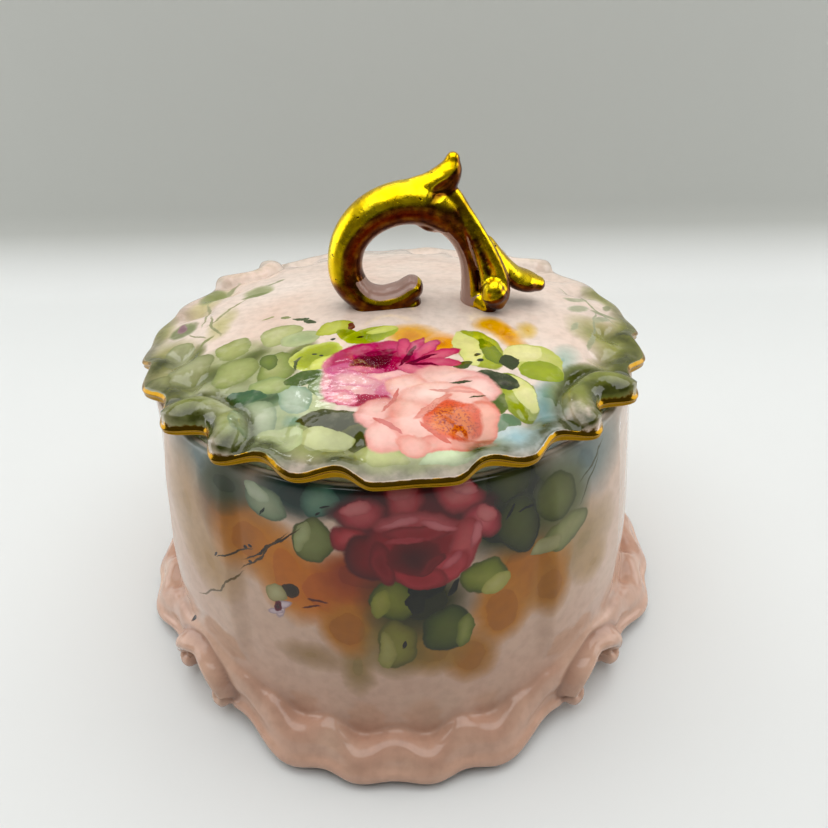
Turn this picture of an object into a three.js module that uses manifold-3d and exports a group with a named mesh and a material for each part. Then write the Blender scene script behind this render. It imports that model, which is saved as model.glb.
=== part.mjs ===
// Covered porcelain butter dish: a ruffled jar, a pierced drainer inside it, and a lobed lid
// with a locating collar and a scroll handle. Millimetres, +Z up, resting on z = 0, front at -Y.
import * as THREE from 'three';
import { mergeVertices } from 'three/addons/utils/BufferGeometryUtils.js';
import Module from 'manifold-3d';

const wasm = await Module();
wasm.setup();

// ---- driving dimensions ----------------------------------------------------------------------
const SEGMENTS = 120; // steps round the axis, 3 degrees each

// One 45 degree half of each lobed outline: [degrees from the lobe's middle, value in mm].
// The other half mirrors it, and the four lobes repeat it.
const FOOT_RADIUS = [[0, 91.2], [6, 92.5], [12, 90.6], [18, 91.5], [33, 85.6], [39, 85.2], [45, 82.6]];
const FOOT_LIFT = [[0, 3.6], [6, 3], [12, 4], [18, 3.2], [33, 6.4], [39, 4.4], [45, 8]];
const FOOT_CREASE = [[0, 11.5], [6, 8.8], [12, 15], [18, 12.5], [30, 20], [45, 23]];
const LID_RADIUS = [[0, 74.8], [7, 75.9], [13, 72.7], [21, 75.6], [29, 71.8], [37, 76.8], [45, 70.4]];
const LID_LIFT = [[0, 0], [7, 0.2], [15, 2], [22, 0.8], [30, 1.8], [37, 0.2], [45, 0.6]];

const FOOT_RING = 69; // outer radius of the ring the jar stands on
const FOOT_RING_WIDTH = 5;
const FLOOR_UNDER = 4; // underside of the jar's floor
const FLOOR_TOP = 8.5;
const LEDGE_TOP = 26; // ring inside the jar that carries the drainer
const LEDGE_RADIUS = 64;
const LIP_TOP = 91;
const MOUTH_RADIUS = 68;
const PILASTER = 1.2; // how far the corner panels stand out from the wall
const GAP = 0.3; // between pieces that touch

const DRAINER_RADIUS = 67.2;
const DRAINER_THICK = 4.2;
const FINGER_HOLE = 9;
const DRAIN_HOLE = 3;

const LID_SEAT = LIP_TOP + GAP;
const LID_TOP = 105.3;
const LID_TURN = 5.5; // the lid sits turned a little on the jar, degrees
const COLLAR_OUTER = 66.5;
const COLLAR_INNER = 62.8;
const COLLAR_BOTTOM = 83.5;
const BALL_RADIUS = 4; // ball end of the handle's outer strand

// ---- shared helpers --------------------------------------------------------------------------
const RAD = Math.PI / 180;

function wave(table, degrees) {
  // value of a lobed outline, eased between its crests and notches
  const turn = ((degrees % 90) + 90) % 90;
  const a = turn > 45 ? 90 - turn : turn;
  for (let i = 1; i < table.length; i += 1) {
    const [a0, v0] = table[i - 1];
    const [a1, v1] = table[i];
    if (a <= a1) {
      return v0 + (v1 - v0) * (1 - Math.cos((Math.PI * (a - a0)) / (a1 - a0))) / 2;
    }
  }
  return table[table.length - 1][1];
}

function smooth(x) {
  const t = Math.min(1, Math.max(0, x));
  return t * t * (3 - 2 * t);
}

function toManifold(geometry) {
  const bare = geometry.clone();
  bare.deleteAttribute('normal');
  bare.deleteAttribute('uv');
  const merged = mergeVertices(bare, 1e-4);
  const index = Array.from(merged.index.array);
  const kept = [];
  for (let i = 0; i < index.length; i += 3) {
    const [a, b, c] = index.slice(i, i + 3);
    if (a !== b && b !== c && c !== a) {
      kept.push(a, b, c);
    }
  }
  return new wasm.Manifold(new wasm.Mesh({
    numProp: 3,
    vertProperties: new Float32Array(merged.attributes.position.array),
    triVerts: new Uint32Array(kept),
  }));
}

function toMesh(name, solid, look) {
  const mesh = solid.getMesh();
  const geometry = new THREE.BufferGeometry();
  geometry.setAttribute('position', new THREE.BufferAttribute(new Float32Array(mesh.vertProperties), 3));
  geometry.setIndex(new THREE.BufferAttribute(new Uint32Array(mesh.triVerts), 1));
  geometry.computeVertexNormals();
  const out = new THREE.Mesh(geometry, new THREE.MeshStandardMaterial(look));
  out.name = name;
  return out;
}

function lobed(rows, segments = SEGMENTS) {
  // A turned body whose radius and height change round the axis. Each row is a function of the
  // angle in degrees, 0 at the front and growing to the right, and gives [radius, height].
  const flat = rows.map((row) => new THREE.Vector2(...row(0)));
  const geometry = new THREE.LatheGeometry(flat, segments);
  const position = geometry.attributes.position;
  for (let s = 0; s <= segments; s += 1) {
    const degrees = (s % segments) * (360 / segments);
    for (let i = 0; i < rows.length; i += 1) {
      const [r, z] = rows[i](degrees);
      const x = r * Math.sin(degrees * RAD);
      const y = -r * Math.cos(degrees * RAD);
      position.setXYZ(s * rows.length + i, x, y, z);
    }
  }
  return toManifold(geometry);
}

const at = (r, z) => () => [r, z];

function turned(profile, segments = 60) {
  const points = profile.map(([r, z]) => new THREE.Vector2(r, z));
  return toManifold(new THREE.LatheGeometry(points, segments).rotateX(Math.PI / 2));
}

function limb(stations, sides = 12, rings = 16) {
  // A round-ended limb that follows a spline through its stations. Each one is
  // [x, y, z, radius, depth], where depth scales the section along Y.
  const curve = new THREE.CatmullRomCurve3(stations.map(([x, y, z]) => new THREE.Vector3(x, y, z)));
  const geometry = new THREE.SphereGeometry(1, sides, rings);
  const position = geometry.attributes.position;
  const last = stations.length - 1;
  for (let i = 0; i <= rings; i += 1) {
    const t = i / rings;
    const k = Math.min(last - 1, Math.floor(t * last));
    const [, , , radius0, depth0 = 1] = stations[k];
    const [, , , radius1, depth1 = 1] = stations[k + 1];
    const part = t * last - k;
    const cap = Math.min(1, Math.sqrt(Math.min(t, 1 - t) * rings * 0.45));
    const radius = cap * (radius0 + (radius1 - radius0) * part);
    const depth = depth0 + (depth1 - depth0) * part;
    const tangent = curve.getTangent(t);
    const side = new THREE.Vector3(0, 1, 0).addScaledVector(tangent, -tangent.y).normalize();
    const normal = new THREE.Vector3().crossVectors(tangent, side);
    for (let j = 0; j <= sides; j += 1) {
      const angle = (j % sides) * ((2 * Math.PI) / sides);
      const spot = curve.getPoint(t);
      spot.addScaledVector(normal, radius * Math.cos(angle));
      spot.addScaledVector(side, radius * depth * Math.sin(angle));
      position.setXYZ(i * (sides + 1) + j, spot.x, spot.y, spot.z);
    }
  }
  return toManifold(geometry);
}

const group = new THREE.Group();
group.name = 'butter_dish';

// ---- jar: one cast piece, wall, floor, foot ring, ruffled skirt, scrolls and ledge ------------
const panel = (degrees) => {
  const turn = ((degrees % 90) + 90) % 90;
  return PILASTER * smooth((13.5 - Math.abs(turn - 45)) / 4);
};
const wall = (r, z, share = 1) => (degrees) => [r + share * panel(degrees), z];
const skirt = (inset, rise) => (degrees) => {
  return [wave(FOOT_RADIUS, degrees) - inset, wave(FOOT_LIFT, degrees) + rise];
};
const crease = (degrees) => [80.6, wave(FOOT_CREASE, degrees)];
const aboveCrease = (degrees) => [79.4, wave(FOOT_CREASE, degrees) + 6];

const jarOuter = lobed([
  at(0, FLOOR_UNDER),
  at(FOOT_RING - FOOT_RING_WIDTH - 2, FLOOR_UNDER),
  at(FOOT_RING - FOOT_RING_WIDTH, 0),
  at(FOOT_RING, 0),
  at(FOOT_RING + 2.4, 5),
  skirt(7, 3.4),
  skirt(0.9, 0),
  skirt(0, 1.6),
  skirt(1.6, 4.2),
  crease,
  aboveCrease,
  wall(78.2, 40),
  wall(74.8, 66),
  wall(73, 84, 0.5),
  at(72.6, LIP_TOP - 1.2),
  at(71.4, LIP_TOP),
  at(0, LIP_TOP),
]);
const cavity = turned([
  [0, FLOOR_TOP],
  [66.5, FLOOR_TOP],
  [69.5, FLOOR_TOP + 1.2],
  [71.5, 16],
  [LEDGE_RADIUS, LEDGE_TOP - 3],
  [LEDGE_RADIUS, LEDGE_TOP],
  [73, LEDGE_TOP],
  [73, 40],
  [MOUTH_RADIUS + 0.6, 78],
  [MOUTH_RADIUS, LIP_TOP - 1],
  [MOUTH_RADIUS + 1, LIP_TOP],
  [MOUTH_RADIUS + 1, LIP_TOP + 5],
  [0, LIP_TOP + 5],
]);

// the C-shaped scroll on the skirt, from the middle of its back to one curled end:
// [degrees from the corner, radius, height, section radius]
const SCROLL_HALF = [
  [0, 80.8, 19.2, 2.6],
  [6.2, 81.9, 16.6, 2.6],
  [8.6, 83.4, 11.4, 2.8],
  [7, 84.2, 7.8, 3],
  [5.2, 84, 9.6, 2.2],
];
const scrollStations = [
  ...SCROLL_HALF.slice(1).reverse().map(([degrees, ...rest]) => [-degrees, ...rest]),
  ...SCROLL_HALF,
].map(([degrees, r, z, radius]) => [r * Math.sin(degrees * RAD), -r * Math.cos(degrees * RAD), z, radius]);
const scroll = limb(scrollStations, 8, 20);
const scrolls = [45, 135, 225, 315].map((corner) => scroll.rotate([0, 0, corner]));
const jar = wasm.Manifold.union([jarOuter, ...scrolls]).subtract(cavity);
group.add(toMesh('jar_body', jar, { color: 0xe2bfb2, roughness: 0.12, metalness: 0 }));

// ---- drainer: pierced plate that lifts out, resting on the ledge ------------------------------
function drill(r, x, y, sides) {
  const cutter = new THREE.CylinderGeometry(r, r, DRAINER_THICK * 2, sides);
  cutter.rotateX(Math.PI / 2);
  cutter.translate(x, y, LEDGE_TOP + GAP + DRAINER_THICK / 2);
  return toManifold(cutter);
}
const plate = turned([
  [0, LEDGE_TOP + GAP],
  [DRAINER_RADIUS - 0.8, LEDGE_TOP + GAP],
  [DRAINER_RADIUS, LEDGE_TOP + GAP + 1],
  [DRAINER_RADIUS, LEDGE_TOP + GAP + DRAINER_THICK - 1],
  [DRAINER_RADIUS - 1, LEDGE_TOP + GAP + DRAINER_THICK],
  [0, LEDGE_TOP + GAP + DRAINER_THICK],
]);
const holes = [drill(FINGER_HOLE, 0, 0, 24)];
for (const [count, radius] of [[6, 26], [12, 46]]) {
  for (let i = 0; i < count; i += 1) {
    const a = (i + 0.5) * ((2 * Math.PI) / count);
    holes.push(drill(DRAIN_HOLE, radius * Math.cos(a), radius * Math.sin(a), 12));
  }
}
const drainer = plate.subtract(wasm.Manifold.union(holes));
group.add(toMesh('drainer', drainer, { color: 0xf1ece4, roughness: 0.14, metalness: 0 }));

// ---- lid: lobed dome with a scroll at each corner ---------------------------------------------
const DOME = [[44, 102], [26, 103.6], [10, 104.8], [0, LID_TOP]]; // crown of the lid, [radius, height]
const lidMeshes = [];
const cornerRelief = (degrees, r) => {
  // the C scroll: a band along an arc that opens outward, seen from above
  const turn = ((degrees % 90) + 90) % 90;
  const across = (turn - 45) * RAD * r;
  const along = r - 74;
  const off = Math.abs(Math.hypot(across / 1.15, along) - 8) / 4.2;
  return along > 2 ? 0 : 2.2 * smooth(1 - off * off * 0.8);
};
const lidTop = (share, height) => (degrees) => {
  const r = share * wave(LID_RADIUS, degrees);
  const lift = wave(LID_LIFT, degrees) * smooth((share - 0.8) / 0.2);
  return [r, height + lift + cornerRelief(degrees, r)];
};
const lidRim = (inset, height) => (degrees) => {
  return [wave(LID_RADIUS, degrees) - inset, height + wave(LID_LIFT, degrees)];
};
const lidOuter = lobed([
  at(0, LID_SEAT),
  at(68, LID_SEAT),
  lidRim(2.2, 92.4),
  lidRim(0.5, 93.2),
  lidRim(0, 94.2),
  lidRim(0.7, 95.2),
  lidTop(0.94, 96.1),
  lidTop(0.89, 97.5),
  lidTop(0.84, 98.8),
  lidTop(0.76, 100.2),
  ...DOME.map(([r, z]) => at(r, z)),
]);
const lidHollow = turned([
  [0, LID_SEAT - 1],
  [61.6, LID_SEAT - 1],
  [61, LID_SEAT],
  [54, 96],
  [30, 99.6],
  [0, LID_TOP - 4.2],
]);
const lid = lidOuter.subtract(lidHollow);
lidMeshes.push(toMesh('lid', lid, { color: 0xe9d3c6, roughness: 0.12, metalness: 0 }));

// ---- collar: ring under the lid that keeps it centred in the mouth ----------------------------
const collar = turned([
  [COLLAR_INNER, COLLAR_BOTTOM + 1],
  [COLLAR_INNER + 1, COLLAR_BOTTOM],
  [COLLAR_OUTER - 1, COLLAR_BOTTOM],
  [COLLAR_OUTER, COLLAR_BOTTOM + 1],
  [COLLAR_OUTER, LID_SEAT - GAP],
  [COLLAR_INNER, LID_SEAT - GAP],
  [COLLAR_INNER, COLLAR_BOTTOM + 1],
]);
lidMeshes.push(toMesh('lid_collar', collar, { color: 0xf1ece4, roughness: 0.14, metalness: 0 }));

// ---- handle: scroll loop, flame finial, ridged leg with a ball end and an outward leaf ---------
const loop = limb([
  [5.4, 0, 110.6, 2.6, 1.7],
  [2.2, 0, 107.8, 3.2, 1.6],
  [-3.6, 0, 106.2, 3.8, 1.5],
  [-9.2, 0, 108, 4.6, 1.3],
  [-12.9, 0, 113.4, 5.1, 1.15],
  [-13.2, 0, 119.8, 5.1, 1.1],
  [-10.8, 0, 126.2, 5.3, 1.1],
  [-5.6, 0, 131.4, 5.7, 1.05],
  [1.6, 0, 134.4, 6, 1],
  [9, 0, 134.6, 6.2, 1],
  [15.4, 0, 131.6, 5.8, 1],
  [20, 0.6, 126.2, 4.4, 1.15],
  [22.8, 1, 119.6, 3.2, 1.4],
  [24.2, 1.2, 112.4, 3.2, 1.5],
  [24.8, 1.2, 104, 3.8, 1.5],
], 14, 36);
const finial = limb([
  [6, 0, 136, 4],
  [12, 0, 137.8, 4.4],
  [16, 0, 140.2, 4.4],
  [17.3, 0, 143.6, 3.5],
  [17.9, 0, 147.9, 1.8],
], 10, 12);
const outerStrand = limb([
  [17.5, -0.5, 137, 2.6],
  [21.2, -1.5, 131.6, 2.5],
  [25, -2.4, 126, 2.4],
  [28.8, -3.6, 119.6, 2.4],
  [31.6, -5, 113.6, 2.4],
  [32.4, -6.6, 109, 2.4],
  [31, -7.8, 106.2, 2.2],
], 8, 14);
const innerStrand = limb([
  [18.5, -2, 133, 1.8],
  [22.4, -3, 127.6, 1.8],
  [25.2, -3.8, 121.4, 1.8],
  [27.2, -4.6, 115, 1.8],
  [28.2, -5.4, 110, 1.8],
], 8, 10);
const ball = toManifold(new THREE.SphereGeometry(BALL_RADIUS, 12, 8).translate(29.6, -7.6, 109.2));
const heel = limb([
  [24.5, 2, 106, 3.6],
  [27, -3, 105.4, 3.6],
  [29.2, -6.8, 105.2, 2.8],
], 8, 8);
const leaf = limb([
  [28.6, 0.6, 122, 2, 1.3],
  [33.2, 0.8, 114.8, 2.6, 1.6],
  [37.6, 0.8, 110.4, 2.6, 1.9],
  [42, 0.6, 108.6, 2.5, 1.9],
  [46.8, 0.2, 107.6, 1.4, 1.5],
], 10, 12);
const bedding = turned([
  [0, 90],
  [60, 90],
  ...DOME.map(([r, z]) => [r, z + GAP]),
]);
const limbs = [loop, finial, outerStrand, innerStrand, ball, heel, leaf];
const handle = wasm.Manifold.union(limbs).subtract(bedding);
lidMeshes.push(toMesh('handle', handle, { color: 0xc9981f, roughness: 0.2, metalness: 1 }));

// the three lid pieces share the lid's small turn about the axis
const lidGroup = new THREE.Group();
lidGroup.rotation.z = LID_TURN * RAD;
lidGroup.add(...lidMeshes);
group.add(lidGroup);

export default group;
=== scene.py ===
import math

import bpy
import numpy as np
from mathutils import Matrix, Vector


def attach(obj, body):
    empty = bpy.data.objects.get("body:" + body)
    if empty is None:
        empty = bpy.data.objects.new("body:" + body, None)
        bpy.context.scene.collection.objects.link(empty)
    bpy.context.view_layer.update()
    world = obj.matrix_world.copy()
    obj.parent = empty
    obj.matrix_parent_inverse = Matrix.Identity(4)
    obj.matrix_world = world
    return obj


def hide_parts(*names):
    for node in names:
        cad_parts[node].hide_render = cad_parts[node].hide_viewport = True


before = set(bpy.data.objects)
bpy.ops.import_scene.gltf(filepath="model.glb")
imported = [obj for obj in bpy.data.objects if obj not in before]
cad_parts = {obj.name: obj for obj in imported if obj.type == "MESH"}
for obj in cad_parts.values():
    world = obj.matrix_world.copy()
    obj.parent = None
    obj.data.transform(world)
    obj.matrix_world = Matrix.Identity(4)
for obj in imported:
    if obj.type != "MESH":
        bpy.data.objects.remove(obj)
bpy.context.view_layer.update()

# ---- The table and the light -----------------------------------------------------------------
# The dish stands on a plain pale surface that sweeps up behind it, inside a small light tent:
# soft white walls on the left and right, a panel overhead and an open, dark front.

MM = 0.001

# the viewer stands in front, a little to the right, and looks down on the lid
EYE_PLACE = (0.0057, -0.18562, 0.18579)
EYE_TURN = math.radians(1.2)
EYE_DOWN = math.radians(33.26)
EYE_ROLL = math.radians(-1.4)

eye = bpy.data.objects.new("eye", bpy.data.cameras.new("eye"))
bpy.context.scene.collection.objects.link(eye)
bpy.context.scene.camera = eye
eye.data.sensor_width = 36
eye.data.lens = 28.473
eye.data.clip_start = 0.01
eye.data.clip_end = 20
eye.rotation_mode = "QUATERNION"
aim = Matrix.Rotation(EYE_TURN, 3, "Z") @ Matrix.Rotation(math.pi / 2 - EYE_DOWN, 3, "X")
eye.rotation_quaternion = (aim @ Matrix.Rotation(EYE_ROLL, 3, "Z")).to_quaternion()
eye.location = Matrix.Rotation(EYE_TURN, 3, "Z") @ Vector(EYE_PLACE)


def tint(code):
    """A screen colour such as "c08040" as the linear colour that shaders take."""
    if not isinstance(code, str):
        return code
    shares = [int(code[k : k + 2], 16) / 255 for k in (0, 2, 4)]
    return (*[c / 12.92 if c < 0.04045 else ((c + 0.055) / 1.055) ** 2.4 for c in shares], 1)


class Wire:
    """One output of a material's nodes, with arithmetic: numbers, colours and vectors."""

    def __init__(self, tree, socket=None):
        self.tree = tree
        self.socket = socket

    def plug(self, value, socket):
        if isinstance(value, Wire):
            self.tree.links.new(value.socket, socket)
        else:
            socket.default_value = value

    def node(self, kind, settings, inputs, output=0):
        """Any node: first its settings, then the values or links of its sockets."""
        made = self.tree.nodes.new(kind if kind.startswith("Node") else "ShaderNode" + kind)
        for key, value in settings.items():
            if key == "stops":
                bar = made.color_ramp.elements
                while len(bar) < len(value):
                    bar.new(0.5)
                for spot, (position, colour, alpha) in zip(bar, value):
                    spot.position = position
                    spot.color = (*tint(colour)[:3], alpha)
            else:
                setattr(made, key, value)
        for key, value in inputs.items():
            self.plug(value, made.inputs[key])
        return Wire(self.tree, made.outputs[output])

    def beside(self, output):
        """Another output of the same node."""
        return Wire(self.tree, self.socket.node.outputs[output])

    def maths(self, operation, *values):
        return self.node("Math", {"operation": operation}, dict(enumerate(values)))

    def __add__(self, other):
        return self.maths("ADD", self, other)

    def __radd__(self, other):
        return self.maths("ADD", other, self)

    def __sub__(self, other):
        return self.maths("SUBTRACT", self, other)

    def __rsub__(self, other):
        return self.maths("SUBTRACT", other, self)

    def __mul__(self, other):
        return self.maths("MULTIPLY", self, other)

    def __rmul__(self, other):
        return self.maths("MULTIPLY", other, self)

    def __truediv__(self, other):
        return self.maths("DIVIDE", self, other)

    def __rtruediv__(self, other):
        return self.maths("DIVIDE", other, self)

    def vector(self, operation, *others):
        output = 1 if operation == "DOT_PRODUCT" else 0
        return self.node("VectorMath", {"operation": operation}, dict(enumerate((self, *others))), output)

    def ease(self, low, high):
        """0 below low, 1 above high, smooth between."""
        steps = {"interpolation_type": "SMOOTHSTEP"}
        return self.node("MapRange", steps, {"Value": self, "From Min": low, "From Max": high})

    def mix(self, colour, share):
        """This colour with a share of another one over it."""
        return self.node("Mix", {"data_type": "RGBA"}, {0: share, 6: self, 7: tint(colour)}, 2)

    def deepen(self, saturation, value, gamma):
        """This colour with its strength, brightness and depth changed, as a firing changes it."""
        inputs = {"Saturation": saturation, "Value": value, "Color": self}
        fired = self.node("HueSaturation", {}, inputs)
        return fired.node("Gamma", {}, {"Color": fired, "Gamma": gamma})

    def noise(self, scale, detail=2.0, output=0):
        inputs = {"Vector": self, "Scale": scale, "Detail": detail}
        return self.node("TexNoise", {}, inputs, output)

    def ramp(self, *stops):
        """A colour ramp through (position, colour, alpha); its alpha is its other output."""
        ordered = sorted(stops, key=lambda stop: stop[0])
        return self.node("ValToRGB", {"stops": ordered}, {0: self})

    def tones(self, *spots):
        """Plain colours at positions along this number."""
        return self.ramp(*[(position, colour, 1) for position, colour in spots])

    def mark(self, name):
        """A number that the mesh keeps on its points."""
        return self.node("Attribute", {"attribute_name": name}, {}, "Fac")

    def bumped(self, height, distance, strength, **normal):
        inputs = {"Height": height, "Distance": distance, "Strength": strength, **normal}
        return self.node("Bump", {}, inputs)


def surface(name, roughness, **fixed):
    """A new material, a wire of the piece's own coordinates in mm, and the shader's sockets."""
    material = bpy.data.materials.new(name)
    material.use_nodes = True
    shader = material.node_tree.nodes["Principled BSDF"]
    shader.inputs["Roughness"].default_value = roughness
    for key, value in fixed.items():
        shader.inputs[key.replace("_", " ")].default_value = value
    space = Wire(material.node_tree).node("TexCoord", {}, {}, "Object")
    space = space.node("Mapping", {}, {"Vector": space, "Scale": (1 / MM,) * 3})
    return material, space, shader.inputs


TABLE_HALF = 1.6
BACKDROP_HEIGHT = 1.6
SWEEP_START = 0.25
SWEEP_RADIUS = 0.05
SWEEP_STEPS = 16
TABLE_COLOUR = (0.74, 0.755, 0.745, 1)
BACKDROP_COLOUR = (0.46, 0.47, 0.44, 1)

table_profile = [(-TABLE_HALF, 0.0), (SWEEP_START, 0.0)]
for step in range(1, SWEEP_STEPS + 1):
    a = math.radians(90 * step / SWEEP_STEPS)
    table_profile.append((SWEEP_START + SWEEP_RADIUS * math.sin(a), SWEEP_RADIUS * (1 - math.cos(a))))
table_profile.append((SWEEP_START + SWEEP_RADIUS, BACKDROP_HEIGHT))
table_points = [(side * TABLE_HALF, y, z) for y, z in table_profile for side in (-1, 1)]
strips = range(0, len(table_points) - 2, 2)
table_mesh = bpy.data.meshes.new("table_sweep")
table_mesh.from_pydata(table_points, [], [(k, k + 1, k + 3, k + 2) for k in strips])
table_mesh.shade_smooth()
table_material, table_space, table_sockets = surface("pale_table", 0.55)
table_height = table_space.node("SeparateXYZ", {}, {0: table_space}, "Z") * MM
table_tone = table_height.tones((0, TABLE_COLOUR), (0.035, BACKDROP_COLOUR))
table_space.plug(table_tone, table_sockets["Base Color"])
table_mesh.materials.append(table_material)
table = bpy.data.objects.new("table_sweep", table_mesh)
bpy.context.scene.collection.objects.link(table)


def lamp(name, place, target, width, height, power):
    light = bpy.data.lights.new(name, "AREA")
    light.shape = "RECTANGLE"
    light.size = width
    light.size_y = height
    light.energy = power
    fitting = bpy.data.objects.new(name, light)
    bpy.context.scene.collection.objects.link(fitting)
    fitting.location = place
    fitting.rotation_mode = "QUATERNION"
    fitting.rotation_quaternion = (Vector(target) - Vector(place)).to_track_quat("-Z", "Y")
    fitting.visible_camera = False


lamp("left_wall", (-0.6, 0.16, 0.26), (0, 0, 0.06), 0.6, 0.5, 2.1)
lamp("right_wall", (0.6, 0.16, 0.26), (0, 0, 0.06), 0.6, 0.5, 2.1)
lamp("spark", (-0.085, 0.22, 0.36), (-0.02, -0.045, 0.1), 0.05, 0.03, 0.022)
lamp("roof_panel", (0, 0, 0.6), (0, 0, 0.05), 0.8, 0.8, 4.8)
bpy.context.scene.view_settings.view_transform = "Standard"
room = bpy.data.worlds.new("room")
bpy.context.scene.world = room
room.use_nodes = True
room.node_tree.nodes["Background"].inputs["Color"].default_value = (0.8, 0.81, 0.79, 1)
room.node_tree.nodes["Background"].inputs["Strength"].default_value = 0.12

# ---- The jar ---------------------------------------------------------------------------------
# One porcelain casting: four shallow panels between corner pilasters, a recessed foot ring, a
# ruffled skirt with a C scroll at each corner, and a ledge inside. Roses are painted on the
# glaze of the wall and fired; the inside and the underside stay white.

AROUND = 720
SIDE = 90  # degrees from one side's middle to the next
CORNER_RADIUS = 84  # of the skirt at its corners, mm

# half of each lobed outline: (degrees from the side's middle, mm), mirrored and repeated
FOOT_RADIUS = [(0, 91.0), (6.5, 92), (13, 90.2), (19, 91.4), (32.5, 85.8), (39, 85.6), (45, 82.4)]
FOOT_LIFT = [(0, 2.7), (6.5, 2.1), (13, 3.4), (19, 2.6), (32.5, 6.2), (39, 4.4), (45, 8)]
FOOT_CREASE = [(0, 12), (6.5, 9), (13, 15.5), (19, 12.8), (26, 18), (33, 21), (45, 25)]
FOOT_RUFFLE = [(0, -0.6), (6.5, 1.1), (13, -1.0), (19, 1.2), (27, -0.9), (33, 0.3), (45, 0)]

angles = np.arange(AROUND) * (360 / AROUND)


def smooth(x):
    x = np.clip(x, 0, 1)
    return x * x * (3 - 2 * x)


def lobes(table, degrees):
    """A lobed outline's value at each angle, eased between the table's points."""
    fold = SIDE / 2 - np.abs(np.mod(degrees, SIDE) - SIDE / 2)
    spots, values = np.array(table, float).T
    k = np.clip(np.searchsorted(spots, fold, side="right") - 1, 0, len(table) - 2)
    share = (fold - spots[k]) / (spots[k + 1] - spots[k])
    return values[k] + (values[k + 1] - values[k]) * (1 - np.cos(np.pi * share)) / 2


def profile(rows):
    """Smooth rings through rows of (radius, height, spacing to the next row), all in mm."""
    points = np.array([[r + 0 * angles, z + 0 * angles] for r, z, _ in rows])
    gaps = np.sqrt((np.diff(points, axis=0) ** 2).sum(1)).mean(1)
    slopes = np.diff(points, axis=0) / gaps[:, None, None]
    tangents = np.empty_like(points)
    tangents[0], tangents[-1] = slopes[0], slopes[-1]
    before, after = gaps[:-1, None, None], gaps[1:, None, None]
    tangents[1:-1] = (slopes[:-1] * after + slopes[1:] * before) / (before + after)
    rings = []
    for k, gap in enumerate(gaps):
        steps = max(1, math.ceil(gap / rows[k][2]))
        for t in np.arange(steps) / steps:
            rings.append(
                points[k] * (1 + 2 * t) * (1 - t) ** 2
                + points[k + 1] * t * t * (3 - 2 * t)
                + tangents[k] * gap * t * (1 - t) ** 2
                + tangents[k + 1] * gap * t * t * (t - 1)
            )
    rings.append(points[-1])
    return np.array(rings)


def in_space(rings):
    """Rings of (radius, height) as points in mm; the front's middle is at angle 0."""
    a = np.radians(angles)
    return np.stack([rings[:, 0] * np.sin(a), -rings[:, 0] * np.cos(a), rings[:, 1]], axis=2)


def outward(points):
    along = np.gradient(points, axis=0)
    across = np.roll(points, -1, axis=1) - np.roll(points, 1, axis=1)
    normal = np.cross(across, along)
    size = np.linalg.norm(normal, axis=2, keepdims=True)
    return normal / np.maximum(size, 1e-9)


def casting(name, points, body, node, material, marks, turn=0.0):
    """A closed body from rings of points in mm, with a single point where a ring has no radius."""
    rows, columns = points.shape[:2]
    widths = np.hypot(points[:, :, 0], points[:, :, 1]).max(1)
    counts = np.where(widths < 1e-6, 1, columns)
    starts = np.cumsum(counts) - counts
    index = starts[:, None] + np.arange(columns) % counts[:, None]
    used = (np.repeat(np.arange(rows), counts), np.concatenate([np.arange(c) for c in counts]))
    a = math.radians(turn)
    spin = np.array([[math.cos(a), math.sin(a), 0], [-math.sin(a), math.cos(a), 0], [0, 0, 1]])
    right = np.roll(index, -1, axis=1)
    faces = []
    for k in range(rows - 1):
        quads = np.stack([index[k], right[k], right[k + 1], index[k + 1]], axis=1)
        if counts[k] == 1:
            quads = quads[:, [0, 2, 3]]
        elif counts[k + 1] == 1:
            quads = quads[:, [0, 1, 2]]
        faces.extend(quads.tolist())
    mesh = bpy.data.meshes.new(name)
    mesh.from_pydata((points[used] @ spin * MM).tolist(), [], faces)
    mesh.shade_smooth()
    for mark, values in marks.items():
        layer = mesh.attributes.new(mark, "FLOAT", "POINT")
        layer.data.foreach_set("value", values[used].astype(np.float32))
    mesh.materials.append(material)
    piece = bpy.data.objects.new(name, mesh)
    bpy.context.scene.collection.objects.link(piece)
    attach(piece, body)
    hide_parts(node)


corner = np.mod(angles, SIDE) - SIDE / 2  # degrees from the nearest corner, signed
edge = lobes(FOOT_RADIUS, angles)
lift = lobes(FOOT_LIFT, angles)
fold_line = lobes(FOOT_CREASE, angles)
ruffle = lobes(FOOT_RUFFLE, angles)
pilaster = 2.0 * smooth((15 - np.abs(corner)) / 4)
calm = smooth((12 - np.abs(corner)) / 5)  # 1 at a corner, where the skirt has no crease

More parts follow.
